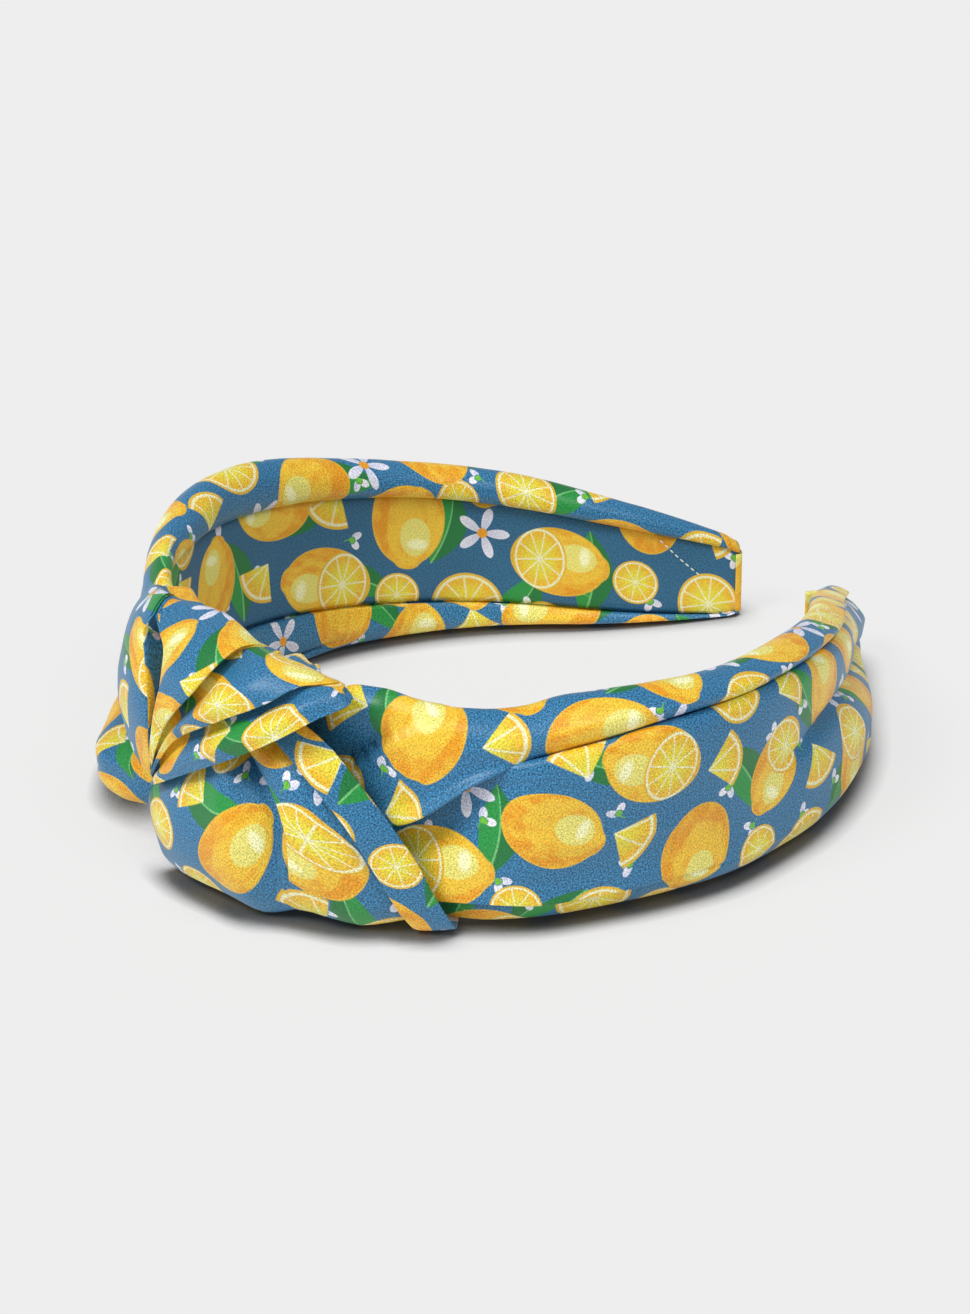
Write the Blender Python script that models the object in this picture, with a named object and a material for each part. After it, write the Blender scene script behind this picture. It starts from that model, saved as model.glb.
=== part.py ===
"""Knotted headband: a lined plastic hoop, covered by pleated cloth that is tied in a knot at the crown.

The headband lies on its side, as it is stored. +Z is up, the knot is at -X and the open tips at +X.
Every piece is drawn in hoop coordinates and then bent round the hoop:
    s  distance from the crown along the hoop, positive on the near leg (-Y), negative on the far leg
    n  distance out from the face that touches the head
    z  height above the surface
"""

import math

import bmesh
import bpy
import numpy as np

MM = 0.001

# Hoop: the arcs of one half, from the crown to the tip, as seen from above
CROWN_ARC, CROWN_RADIUS = 11 * MM, 75 * MM
SHOULDER_ARC, SHOULDER_TURN = 94 * MM, math.radians(93.67)  # the turn sets how far the tips stand apart
SHOULDER_RADIUS = SHOULDER_ARC / SHOULDER_TURN
LEG_ARC, LEG_RADIUS = 51 * MM, 94.5 * MM
TIP_ARC, TIP_RADIUS = 39 * MM, -150 * MM  # turned out, to slip behind the ear

# Strip of the hoop: its width, and the height of its middle as it lies
CROWN_WIDTH = 25.6 * MM
TIP_WIDTH = 14.4 * MM
CROWN_MIDDLE = 29.5 * MM
TIP_MIDDLE = 7.5 * MM
WIDTH_POWER = 4.0
MIDDLE_POWER = 1.9

# Layers of the strip, from the head outwards
GAP = 0.3 * MM
LINING_THICKNESS = 0.8 * MM
HOOP_THICKNESS = 1.8 * MM
HOOP_INSET = 0.6 * MM  # the hoop is this much narrower than its lining on each edge
HOOP_EDGE = 0.5 * MM  # rounded edge of the moulded strip
NOSE = 4 * MM  # radius of the strip's rounded ends
TAB_THICKNESS = 0.9 * MM
NEAR_TAB_LEAF = 7 * MM  # length of the tab inside the tip
FAR_TAB_LEAF = 2.4 * MM
NEAR_TAB_LIFT = 4 * MM  # the near tab's leaf stands off the lining
FAR_TAB_LIFT = 0 * MM

# Pleated covers of the legs
COVER_START_NEAR = 9 * MM
COVER_START_FAR = 6 * MM
COVER_END_INSET = 0.6 * MM
FOLD_LIP = 1.2 * MM  # the lower pleat's folded lip stands out past the upper pleat
LIP_GAP = 0.4 * MM
LIP_TUCK = 0.6 * MM
ROLL_DROP = 3 * MM  # most that the upper roll falls across its top
SEAT_UNDER_CREASE = 2.4 * MM
SEAT_UNDER_EDGE = 3 * MM
FLOOR_CUT = 0.5 * MM  # depth of the flat where a hem lies on the surface
STATIONS = 27
RUN_SAMPLES = 3

# Knot
WRAP_THICKNESS = 2.0 * MM
KNOT_CENTRE_N = 2.0 * MM
WRAP_SAMPLES_ALONG = 3
PLEAT_PROFILE = (0.0, 0.35, 0.75, 1.0)  # share of the depth after each fold line: slow fall, sharp rise
UPPER_PLEAT = 1.7 * MM
LOWER_PLEAT = 1.1 * MM
CORE_DEPTH = 7.2 * MM

LINING_BACK = LINING_THICKNESS
HOOP_FRONT = LINING_BACK + GAP
HOOP_BACK = HOOP_FRONT + HOOP_THICKNESS
COVER_SEAT = HOOP_BACK + GAP
HALF_LENGTH = CROWN_ARC + SHOULDER_ARC + LEG_ARC + TIP_ARC

# Heights and bulges of the leg covers: (distance from the crown, value), in millimetres
NEAR = {
    "top": (
        (0, 43.8), (19, 43.8), (25, 45.6), (30, 46), (35, 44.4), (39, 43.3), (46, 42.8), (54, 43.2),
        (65, 45), (77, 44.7), (95, 42.8), (121, 39.2), (150, 32), (176, 22.6), (195, 15.6),
    ),
    "crease": (
        (0, 19), (34, 22), (48, 32), (63, 37), (80, 39),
        (100, 38), (127, 33.8), (160, 25.4), (195, 10.4),
    ),
    "bulge": ((0, 6.6), (45, 7.2), (70, 8), (110, 7.6), (150, 6.8), (180, 6.2), (195, 5)),
    "panel": (
        (0, 8), (40, 8.2), (60, 9.6), (100, 9.6), (130, 9),
        (160, 8.6), (180, 8.8), (190, 8), (195, 6.4),
    ),
    "pleat_height": (
        (0, 16), (98, 19.5), (119, 22.5), (132, 21.5),
        (160, 14.5), (177, 9.4), (195, 6),
    ),
    "pleat_depth": ((0, 0), (94, 0), (118, 1.6), (145, 3.2), (172, 2.8), (195, 0.8)),
    "skirt": (
        (0, 8), (43, 8.2), (56, 9.2), (72, 8), (101, 9.4),
        (116, 11.6), (140, 12.8), (165, 11.6), (195, 6.4),
    ),
    "foot": ((0, 3), (48, 2.6), (69, 0.4), (101, 2), (120, 6), (140, 7.6), (165, 7), (195, 3.2)),
    "bottom": ((0, 3.8), (48, 3.8), (58, 1), (90, 0.4), (112, 0), (195, 0)),
}
FAR = {
    "top": (
        (0, 43.6), (34, 43.6), (46, 45.2), (62, 46.8), (77, 47.6),
        (86, 47), (113, 40.6), (154, 30.4), (195, 15.6),
    ),
    "crease": (
        (0, 24), (30, 27), (48, 34), (66, 38.6), (85, 39.8),
        (107, 36.4), (128, 31.8), (160, 23.6), (195, 10.4),
    ),
    "bulge": (
        (0, 6.4), (20, 6.2), (30, 5.6), (38, 4.8), (56, 5.6), (74, 7.2),
        (110, 7.6), (150, 6.8), (180, 5.6), (195, 4.4),
    ),
    "panel": (
        (0, 8), (16, 8), (30, 7.6), (50, 7.4), (72, 9),
        (100, 9.6), (130, 9), (160, 8), (180, 7), (195, 5),
    ),
    "pleat_height": ((0, 18), (60, 18), (100, 18), (130, 16), (160, 11), (195, 6)),
    "pleat_depth": ((0, 0), (100, 0), (125, 1.2), (150, 2), (172, 1.6), (195, 0.6)),
    "skirt": (
        (0, 8.6), (17, 9), (23, 13), (30, 16.4), (40, 14),
        (54, 10.6), (70, 9.4), (130, 10.4), (165, 9.6), (195, 6),
    ),
    "foot": ((0, 3.4), (17, 4), (30, 10.5), (42, 8), (60, 4), (100, 2.8), (195, 2.6)),
    "bottom": ((0, 3.8), (14, 3.8), (22, 0.6), (60, 0), (195, 0)),
}
# Rolled edges stand in past the lining
ROLL_INNER = ((0, -0.4), (48, -0.4), (64, -2.2), (150, -2.2), (195, -0.8))


def between(table, a):
    """Value at distance a from the crown, on the smooth monotone curve through a table in mm."""
    xs = np.array([row[0] for row in table], float) * MM
    ys = np.array([row[1] for row in table], float) * MM
    steps = np.diff(xs)
    slopes = np.diff(ys) / steps
    tangents = np.zeros(len(xs))
    for i in range(1, len(xs) - 1):
        if slopes[i - 1] * slopes[i] > 0:
            before, after = 2 * steps[i] + steps[i - 1], steps[i] + 2 * steps[i - 1]
            tangents[i] = (before + after) / (before / slopes[i - 1] + after / slopes[i])
    tangents[0], tangents[-1] = slopes[0], slopes[-1]
    i = int(np.clip(np.searchsorted(xs, a) - 1, 0, len(xs) - 2))
    t = min(max((a - xs[i]) / steps[i], 0.0), 1.0)
    rise = (1 + 2 * t) * (1 - t) ** 2 * ys[i] + t * t * (3 - 2 * t) * ys[i + 1]
    return rise + steps[i] * (t * (1 - t) ** 2 * tangents[i] + t * t * (t - 1) * tangents[i + 1])


def hoop_frame(s):
    """Point of the hoop's inner face at s, in plan, and its outward direction."""
    x = y = angle = 0.0
    left = abs(s)
    arcs = (
        (CROWN_ARC, CROWN_RADIUS),
        (SHOULDER_ARC, SHOULDER_RADIUS),
        (LEG_ARC, LEG_RADIUS),
        (TIP_ARC, TIP_RADIUS),
    )
    for i, (length, radius) in enumerate(arcs):
        run = left if i == len(arcs) - 1 else min(left, length)
        turn = run / radius
        x += radius * (math.cos(angle) - math.cos(angle + turn))
        y += radius * (math.sin(angle + turn) - math.sin(angle))
        angle += turn
        left -= run
        if left <= 0:
            break
    side = -1 if s > 0 else 1
    return x, side * y, -math.cos(angle), side * math.sin(angle)


def bend(s, n, z):
    """World point of hoop coordinates. Nothing goes below the surface that the headband lies on."""
    x, y, out_x, out_y = hoop_frame(s)
    return x + n * out_x, y + n * out_y, max(z, 0.0)


def strip_width(s):
    return TIP_WIDTH + (CROWN_WIDTH - TIP_WIDTH) * (1 - (abs(s) / HALF_LENGTH) ** WIDTH_POWER)


def strip_middle(s):
    return TIP_MIDDLE + (CROWN_MIDDLE - TIP_MIDDLE) * (1 - (abs(s) / HALF_LENGTH) ** MIDDLE_POWER)


def smooth_run(points, samples, closed=False):
    """Points on the Catmull-Rom curve through the given ones."""
    pts = np.array(points, float)
    count = len(pts)
    if not closed:
        pts = np.vstack([2 * pts[0] - pts[1], pts, 2 * pts[-1] - pts[-2]])
    made = []
    for i in range(count if closed else count - 1):
        if closed:
            a, b, c, d = (pts[(i + k - 1) % count] for k in range(4))
        else:
            a, b, c, d = pts[i : i + 4]
        for t in np.arange(samples) / samples:
            bow = (2 * a - 5 * b + 4 * c - d) * t * t + (3 * b - a - 3 * c + d) * t**3
            made.append(0.5 * (2 * b + (c - a) * t + bow))
    if not closed:
        made.append(pts[-2])
    return made


def new_material(name, colour, roughness):
    material = bpy.data.materials.new(name)
    material.use_nodes = True
    shader = material.node_tree.nodes["Principled BSDF"]
    shader.inputs["Base Color"].default_value = (*colour, 1)
    shader.inputs["Roughness"].default_value = roughness
    shader.inputs["Metallic"].default_value = 0.0
    return material


def new_object(name, mesh_builder, material):
    """An object from a bmesh, shaded smooth, parented to the headband's root."""
    mesh = bpy.data.meshes.new(name)
    bmesh.ops.recalc_face_normals(mesh_builder, faces=mesh_builder.faces)
    mesh_builder.to_mesh(mesh)
    mesh_builder.free()
    mesh.shade_smooth()
    mesh.set_sharp_from_angle(angle=math.radians(50))
    mesh.materials.append(material)
    obj = bpy.data.objects.new(name, mesh)
    collection.objects.link(obj)
    obj.parent = root
    return obj


def loft(name, sections, material):
    """A closed solid through rings of points, capped at both ends."""
    builder = bmesh.new()
    rings = [[builder.verts.new(point) for point in section] for section in sections]
    count = len(rings[0])
    for first, second in zip(rings, rings[1:]):
        for i in range(count):
            k = (i + 1) % count
            builder.faces.new((first[i], first[k], second[k], second[i]))
    builder.faces.new(rings[0])
    builder.faces.new(rings[-1])
    return new_object(name, builder, material)


def stations(first, last, count):
    return [first + (last - first) * i / (count - 1) for i in range(count)]


def strip_sections(along, front, back, inset, edge, rounded=False):
    """Soft-edged rectangles across the strip, from its front face to its back face."""
    made = []
    for s in along:
        past = max(0.0, 1 - (HALF_LENGTH - abs(s)) / NOSE) if rounded else 0.0
        half = strip_width(s) / 2 - inset - NOSE * (1 - math.sqrt(1 - past * past))
        middle = strip_middle(s)
        low, high = middle - half, middle + half
        corners = (
            (front, low + edge),
            (front, high - edge),
            (front + edge, high),
            (back - edge, high),
            (back, high - edge),
            (back, low + edge),
            (back - edge, low),
            (front + edge, low),
        )
        made.append([bend(s, n, z) for n, z in corners])
    return made


def build_hoop():
    """Moulded strip, narrowed to a rounded nose at each tip."""
    nose = [HALF_LENGTH - NOSE * share for share in (0.5, 0.2, 0.0)]
    body = HALF_LENGTH - NOSE
    along = [*(-a for a in reversed(nose)), *stations(-body, body, 2 * STATIONS + 1), *nose]
    sections = strip_sections(along, HOOP_FRONT, HOOP_BACK, HOOP_INSET, HOOP_EDGE, rounded=True)
    return loft("hoop_core", sections, plastic)


def build_lining():
    along = stations(-HALF_LENGTH, HALF_LENGTH, 2 * STATIONS + 1)
    edge = 0.3 * LINING_THICKNESS
    return loft("lining_strip", strip_sections(along, 0.0, LINING_THICKNESS, 0.0, edge), lining_cloth)


def pleat_seat(s, leg):
    """Height on the hoop's outer face where the upper pleat ends and the lower one begins."""
    edge = strip_middle(s) + strip_width(s) / 2
    return min(between(leg["crease"], abs(s)) - SEAT_UNDER_CREASE, edge - SEAT_UNDER_EDGE)


def upper_section(s, leg):
    """Upper pleat: a roll over the top edge of the hoop, tucked under the lower pleat at the crease."""
    a = abs(s)
    top = between(leg["top"], a)
    bulge = between(leg["bulge"], a)
    crease = between(leg["crease"], a)
    edge = strip_middle(s) + strip_width(s) / 2 + GAP
    round_run = smooth_run(
        (
            (0.0, edge),
            (between(ROLL_INNER, a), edge + 0.35 * (top - edge)),
            (0.25 * bulge, top),
            (0.78 * bulge, top - min(0.22 * (top - crease), ROLL_DROP)),
            (bulge, 0.5 * (top + crease)),
            (bulge - LIP_TUCK, crease + LIP_GAP),
        ),
        RUN_SAMPLES,
    )
    back = ((COVER_SEAT, pleat_seat(s, leg)), (COVER_SEAT, edge - HOOP_INSET))
    return [bend(s, n, z) for n, z in (*round_run, *back)]


def lower_section(s, leg):
    """Lower pleat: a lip over the upper one, a full panel, a second pleat near the tip and a rolled hem."""
    a = abs(s)
    bulge = between(leg["bulge"], a)
    crease = between(leg["crease"], a)
    panel = between(leg["panel"], a)
    fold = between(leg["pleat_height"], a)
    depth = between(leg["pleat_depth"], a)
    skirt = between(leg["skirt"], a)
    foot = between(leg["foot"], a)
    bottom = between(leg["bottom"], a)
    edge = strip_middle(s) - strip_width(s) / 2 - GAP
    outer_run = smooth_run(
        (
            (bulge + LIP_GAP, crease),
            (max(0.5 * (panel + bulge), bulge + FOLD_LIP), crease - 0.12 * (crease - fold)),
            (panel, 0.5 * (crease + fold)),
            (min(panel, 0.5 * (panel + skirt)) - depth, fold),
            (skirt - 0.15 * depth, bottom + 0.66 * (fold - bottom)),
            (skirt, bottom + 0.4 * (fold - bottom)),
            (0.4 * foot + 0.6 * skirt, bottom + 0.08 * (fold - bottom)),
            (foot, bottom - FLOOR_CUT),
            (between(ROLL_INNER, a), bottom + 0.5 * (edge - bottom)),
            (0.0, edge),
        ),
        RUN_SAMPLES,
    )
    back = ((COVER_SEAT, edge), (COVER_SEAT, pleat_seat(s, leg) - GAP))
    return [bend(s, n, z) for n, z in (*outer_run, *back)]


def build_leg(side, name, start, leg):
    along = [side * a for a in stations(start, HALF_LENGTH - COVER_END_INSET, STATIONS)]
    loft(name + "_upper_fold", [upper_section(s, leg) for s in along], satin)
    loft(name + "_lower_fold", [lower_section(s, leg) for s in along], satin)


# Fold lines of the knot, as (s, n, z) in mm, each from the gather to the edge it turns in over
UPPER_FOLDS = (
    (
        (-9.3, 16.5, 18.5), (2.8, 19, 27.7), (12.5, 20, 35.2),
        (19.6, 19.5, 41.4), (24.2, 17, 45.4), (28, 12, 47.6),
    ),
    (
        (-9, 16.6, 20.4), (-1.1, 18.5, 32.2), (9.4, 20, 41.2),
        (17.1, 18.5, 47.2), (20.9, 15, 50.4), (24.6, 10, 50.3),
    ),
    (
        (-8.8, 16.8, 21.5), (-2.8, 19, 34.5), (4.5, 19.5, 45.2),
        (7.5, 17, 51), (8.6, 12, 53.2), (8.7, 7, 51.9),
    ),
    (
        (-8.7, 16.9, 22.5), (-4.8, 19.5, 37), (-2, 18.5, 46.5),
        (-2, 14.5, 52), (-2.5, 9, 53.6), (-3, 4, 53),
    ),
    (
        (-8.6, 16.8, 23.4), (-6, 18, 36.2), (-6.9, 16.5, 42.5),
        (-8.6, 13.5, 47.5), (-11, 10, 50), (-13, 5, 51.2),
    ),
    (
        (-9, 15.4, 23.8), (-7.8, 13.6, 35.5), (-10.2, 11.4, 42),
        (-14.2, 9.2, 45.8), (-16.6, 6.8, 48.2), (-17.6, 4, 49.2),
    ),
    (
        (-10.4, 16, 22.8), (-13, 17.2, 33), (-17, 15.6, 40),
        (-21.5, 12.4, 44.4), (-24, 9, 47.4), (-25.5, 5, 49),
    ),
    (
        (-11.8, 15, 18.8), (-19, 15, 24), (-24, 14, 31),
        (-26.5, 12, 38), (-29, 8.6, 43.8), (-30, 4.6, 47),
    ),
)
LOWER_FOLDS = (
    (
        (-7.5, 12.6, 21.5), (-13, 12.4, 16.4), (-15.3, 13, 12),
        (-12.4, 14, 7.6), (-9.3, 13.5, 1.8), (-7.5, 9, -0.3),
    ),
    (
        (-3, 13.8, 26.5), (-5, 16.6, 19), (-5.4, 18, 13),
        (-4, 17.4, 7), (-3, 14.4, 1.6), (-3, 9, -0.5),
    ),
    ((4, 14.4, 31.5), (5, 18.2, 23.5), (6, 20, 15.5), (6.4, 18.6, 7.6), (7, 14, 1.6), (7, 9, -0.6)),
    (
        (10.2, 14, 35), (15.4, 16, 29.7), (19, 17.6, 22.5),
        (19.6, 16.4, 11), (20, 12, 2.9), (20, 8, -0.4),
    ),
    (
        (15.4, 14.2, 38.4), (21.6, 16.2, 33.5), (27.6, 15.9, 25),
        (31.8, 14, 15), (35.4, 11.8, 5.6), (36.8, 8, 0.4),
    ),
    (
        (20.4, 12.8, 41.6), (25.7, 13, 37.1), (32.4, 12.6, 27),
        (37.8, 11.8, 17), (41.5, 11, 7.3), (43.6, 8.4, 1.4),
    ),
)
# Turn of every fold line over the edge of the strip and in against the lining, as (near share, n, z).
# A line that ends on the near leg keeps that share of its s, because the cloth is drawn in behind the knot.
UPPER_TURN = ((0.66, 2.4, 47), (0.52, -2.6, 45.8), (0.5, -3, 43.2))
LOWER_TURN = ((1, 1.6, -0.6), (1, -2.6, 4.6), (1, -3, 15.6))


def fold_grid(folds, turn):
    """Points (s, n, z) on the smooth surface through the fold lines and their turns, in metres."""
    lines = []
    for line in folds:
        last = line[-1][0]
        lines.append([*line, *((last * share if last > 0 else last, n, z) for share, n, z in turn)])
    lines = np.array(lines) * MM
    along = np.array([smooth_run(line, WRAP_SAMPLES_ALONG) for line in lines])
    across = np.array([smooth_run(column, len(PLEAT_PROFILE)) for column in along.transpose(1, 0, 2)])
    return across.transpose(1, 0, 2)


def build_wrap(name, folds, turn, pleat):
    """A thick pleated sheet round the crown: the outer surface, and the same moved in towards the strip."""
    outer = fold_grid(folds, turn)
    rows, columns = outer.shape[:2]
    half = CROWN_WIDTH / 2
    nearest = np.empty_like(outer[..., 1:])
    nearest[..., 0] = KNOT_CENTRE_N
    nearest[..., 1] = np.clip(outer[..., 2], CROWN_MIDDLE - half, CROWN_MIDDLE + half)
    reach = outer[..., 1:] - nearest
    length = np.linalg.norm(reach, axis=2, keepdims=True)
    down = np.array([PLEAT_PROFILE[i % len(PLEAT_PROFILE)] for i in range(rows)])
    out = np.array([max(0.0, math.sin(1.35 * math.pi * k / (columns - 1))) for k in range(columns)])
    sink = pleat * (down[:, None] * out[None, :])[..., None]
    inner = outer.copy()
    outer[..., 1:] = nearest + reach * (length - sink) / length
    inner[..., 1:] = nearest + reach * (length - sink - WRAP_THICKNESS) / length
    inner[..., 2] = np.maximum(inner[..., 2], WRAP_THICKNESS)
    builder = bmesh.new()
    faces = []
    for sheet in (outer, inner):
        faces.append([[builder.verts.new(bend(*point)) for point in row] for row in sheet])
    for sheet, order in zip(faces, (1, -1)):
        for i in range(rows - 1):
            for k in range(columns - 1):
                quad = (sheet[i][k], sheet[i][k + 1], sheet[i + 1][k + 1], sheet[i + 1][k])
                builder.faces.new(quad[::order])
    rim = [(i, 0) for i in range(rows)] + [(rows - 1, k) for k in range(1, columns)]
    rim += [(i, columns - 1) for i in range(rows - 2, -1, -1)] + [(0, k) for k in range(columns - 2, 0, -1)]
    for (i, k), (j, m) in zip(rim, rim[1:] + rim[:1]):
        builder.faces.new((faces[0][i][k], faces[0][j][m], faces[1][j][m], faces[1][i][k]))
    return new_object(name, builder, satin)


def build_knot_core():
    """The crossing inside the knot, between the two legs' covers."""
    first, last = -(COVER_START_FAR - GAP), COVER_START_NEAR - GAP
    sections = []
    for s in stations(first, last, 9):
        share = (s - first) / (last - first)
        swell = 0.62 + 0.38 * math.sin(math.pi * share)
        half = 0.5 * CROWN_WIDTH * (0.8 + 0.2 * swell)
        depth = CORE_DEPTH * swell
        ring = smooth_run(
            (
                (COVER_SEAT, -half),
                (COVER_SEAT + 0.75 * depth, -0.75 * half),
                (COVER_SEAT + depth, 0.0),
                (COVER_SEAT + 0.75 * depth, 0.75 * half),
                (COVER_SEAT, half),
            ),
            RUN_SAMPLES,
        )
        sections.append([bend(s, max(n, COVER_SEAT), strip_middle(s) + z) for n, z in ring])
    return loft("knot_core", sections, satin)


def build_tip_tab(side, name, leaf, lift):
    """Cloth tab folded round the tip: a leaf outside the end, and a leaf inside that stands off by lift."""
    end = HALF_LENGTH + GAP
    outer = COVER_SEAT
    path = (
        (end, outer),
        (end, 0.0),
        (end - GAP, -GAP - TAB_THICKNESS * 0.5),
        (end - 0.5 * leaf, -GAP - TAB_THICKNESS - 0.55 * lift),
        (end - leaf, -GAP - TAB_THICKNESS - lift),
    )
    half, middle = TIP_WIDTH / 2 - HOOP_INSET, strip_middle(HALF_LENGTH)
    sections = []
    for i, (a, n) in enumerate(path):
        before, after = path[max(i - 1, 0)], path[min(i + 1, len(path) - 1)]
        run = np.array([after[0] - before[0], after[1] - before[1]])
        run /= np.linalg.norm(run)
        aside = np.array([-run[1], run[0]]) * TAB_THICKNESS
        b, m = a + aside[0], n + aside[1]
        ring = ((a, n, -half), (a, n, half), (b, m, half), (b, m, -half))
        sections.append([bend(side * p, q, middle + z) for p, q, z in ring])
    return loft(name, sections, lining_cloth)


for old in list(bpy.data.objects):
    bpy.data.objects.remove(old)
collection = bpy.data.collections.new("knotted_headband")
bpy.context.scene.collection.children.link(collection)
root = bpy.data.objects.new("headband_root", None)
collection.objects.link(root)

satin = new_material("printed_satin", (0.13, 0.26, 0.42), 0.42)
lining_cloth = new_material("printed_lining", (0.11, 0.22, 0.36), 0.6)
plastic = new_material("hoop_plastic", (0.72, 0.72, 0.7), 0.45)

build_hoop()
build_lining()
build_leg(1, "near", COVER_START_NEAR, NEAR)
build_leg(-1, "far", COVER_START_FAR, FAR)
build_wrap("knot_upper_wrap", UPPER_FOLDS, UPPER_TURN, UPPER_PLEAT)
build_wrap("knot_lower_wrap", LOWER_FOLDS, LOWER_TURN, LOWER_PLEAT)
build_knot_core()
build_tip_tab(1, "near_tip_tab", NEAR_TAB_LEAF, NEAR_TAB_LIFT)
build_tip_tab(-1, "far_tip_tab", FAR_TAB_LEAF, FAR_TAB_LIFT)

# The origin is under the middle of the whole headband, on the surface it lies on
meshes = [part.data for part in collection.objects if part.type == "MESH"]
corners = np.array([vertex.co for mesh in meshes for vertex in mesh.vertices])
middle = (corners.min(axis=0) + corners.max(axis=0)) / 2
root.location = (-middle[0], -middle[1], 0)
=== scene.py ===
import math

import bpy
import numpy as np
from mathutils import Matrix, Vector, noise


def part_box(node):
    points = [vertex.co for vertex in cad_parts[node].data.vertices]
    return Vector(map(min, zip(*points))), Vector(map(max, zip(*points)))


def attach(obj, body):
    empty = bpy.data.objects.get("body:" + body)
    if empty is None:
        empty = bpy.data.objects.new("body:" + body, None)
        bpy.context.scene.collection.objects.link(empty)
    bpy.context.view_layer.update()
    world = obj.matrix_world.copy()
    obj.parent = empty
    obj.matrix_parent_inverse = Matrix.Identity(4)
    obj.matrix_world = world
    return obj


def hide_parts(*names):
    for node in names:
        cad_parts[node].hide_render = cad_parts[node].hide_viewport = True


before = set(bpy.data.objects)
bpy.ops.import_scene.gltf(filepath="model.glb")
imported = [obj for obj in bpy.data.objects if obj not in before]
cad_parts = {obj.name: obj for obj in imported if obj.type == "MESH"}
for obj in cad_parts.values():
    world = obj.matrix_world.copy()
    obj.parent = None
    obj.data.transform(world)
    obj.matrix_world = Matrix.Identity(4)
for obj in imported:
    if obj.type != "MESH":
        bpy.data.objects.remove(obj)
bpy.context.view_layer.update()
scene = bpy.context.scene
mm = 0.001

# hoop coordinates, in mm: s along the hoop from the crown (near leg positive), n out from the head, z up
hoop = {
    "arcs": ((11, 75), (94, 57.5), (51, 94.5), (39, -150)),  # length and radius, crown to tip
    "half": 195,
    "back": 2.9,  # outer face of the moulded strip
    "crownWidth": 25.6,
    "tipWidth": 14.4,
    "crownMiddle": 29.5,
    "tipMiddle": 7.5,
    "step": 0.1,  # of the walk along the arcs
    "walked": 230,
    "lowest": 0.02,  # cloth keeps this far off the floor
}

walk = np.arange(0, hoop["walked"], hoop["step"])
turnRate = np.concatenate(
    [np.full(int(round(length / hoop["step"])), 1 / radius) for length, radius in hoop["arcs"]])
turnRate = np.concatenate([turnRate, np.full(len(walk) - len(turnRate), 1 / hoop["arcs"][-1][1])])
walkAngle = np.concatenate([[0], np.cumsum(turnRate[:-1] * hoop["step"])])
midAngle = walkAngle[:-1] + 0.5 * hoop["step"] * turnRate[:-1]
walkX = np.concatenate([[0], np.cumsum(np.sin(midAngle) * hoop["step"])])
walkY = np.concatenate([[0], np.cumsum(np.cos(midAngle) * hoop["step"])])
hoopLow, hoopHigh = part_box("hoop_core")
shiftX = -hoop["back"] - hoopLow[0] / mm  # from the hoop plan to the frame
shiftY = -0.5 * (hoopLow[1] + hoopHigh[1]) / mm


def bend(points):  # hoop coordinates in mm to the frame in metres
    s, n, z = points[..., 0], points[..., 1], points[..., 2]
    a = np.abs(s)
    angle = np.interp(a, walk, walkAngle)
    side = np.where(s > 0, -1, 1)
    x = np.interp(a, walk, walkX) - n * np.cos(angle) - shiftX
    y = side * (np.interp(a, walk, walkY) + n * np.sin(angle)) - shiftY
    return np.stack([x, y, np.maximum(z, hoop["lowest"])], -1) * mm


def crownToTip(key, power, a):
    crown, tip = hoop["crown" + key], hoop["tip" + key]
    return tip + (crown - tip) * (1 - (np.abs(a) / hoop["half"]) ** power)


def stripWidth(a):
    return crownToTip("Width", 4, a)


def stripMiddle(a):
    return crownToTip("Middle", 1.9, a)


def steady(table, a):  # smooth curve through a table that never overshoots it
    xs, ys = np.array(table, float).T
    step = np.diff(xs)
    slope = np.diff(ys) / step
    tangent = np.zeros(len(xs))
    for i in range(1, len(xs) - 1):
        if slope[i - 1] * slope[i] > 0:
            before, after = 2 * step[i] + step[i - 1], step[i] + 2 * step[i - 1]
            tangent[i] = (before + after) / (before / slope[i - 1] + after / slope[i])
    tangent[0], tangent[-1] = slope[0], slope[-1]
    i = np.clip(np.searchsorted(xs, a) - 1, 0, len(xs) - 2)
    t = np.clip((a - xs[i]) / step[i], 0, 1)
    rise = (1 + 2 * t) * (1 - t) ** 2 * ys[i] + t * t * (3 - 2 * t) * ys[i + 1]
    return rise + step[i] * (t * (1 - t) ** 2 * tangent[i] + t * t * (t - 1) * tangent[i + 1])


def ease(low, high, a):
    t = np.clip((a - low) / (high - low), 0, 1)
    return t * t * (3 - 2 * t)


def curveThrough(points, samples):  # centripetal curve along the second last axis
    points = np.asarray(points, float)
    first = 2 * points[..., :1, :] - points[..., 1:2, :]
    last = 2 * points[..., -1:, :] - points[..., -2:-1, :]
    p = np.concatenate([first, points, last], -2)
    knots = np.sqrt(np.linalg.norm(np.diff(p, axis=-2), axis=-1)) + 1e-3
    t = np.concatenate([np.zeros_like(knots[..., :1]), np.cumsum(knots, -1)], -1)
    made = []
    for i in range(points.shape[-2] - 1):
        p0, p1, p2, p3 = (p[..., i + k, :] for k in range(4))
        t0, t1, t2, t3 = (t[..., i + k, None] for k in range(4))
        for u in np.arange(samples) / samples:
            at = t1 + (t2 - t1) * u
            a1 = p0 + (p1 - p0) * (at - t0) / (t1 - t0)
            a2 = p1 + (p2 - p1) * (at - t1) / (t2 - t1)
            a3 = p2 + (p3 - p2) * (at - t2) / (t3 - t2)
            b1 = a1 + (a2 - a1) * (at - t0) / (t2 - t0)
            b2 = a2 + (a3 - a2) * (at - t1) / (t3 - t1)
            made.append(b1 + (b2 - b1) * (at - t1) / (t2 - t1))
    made.append(points[..., -1, :])
    return np.stack(made, -2)


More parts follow.
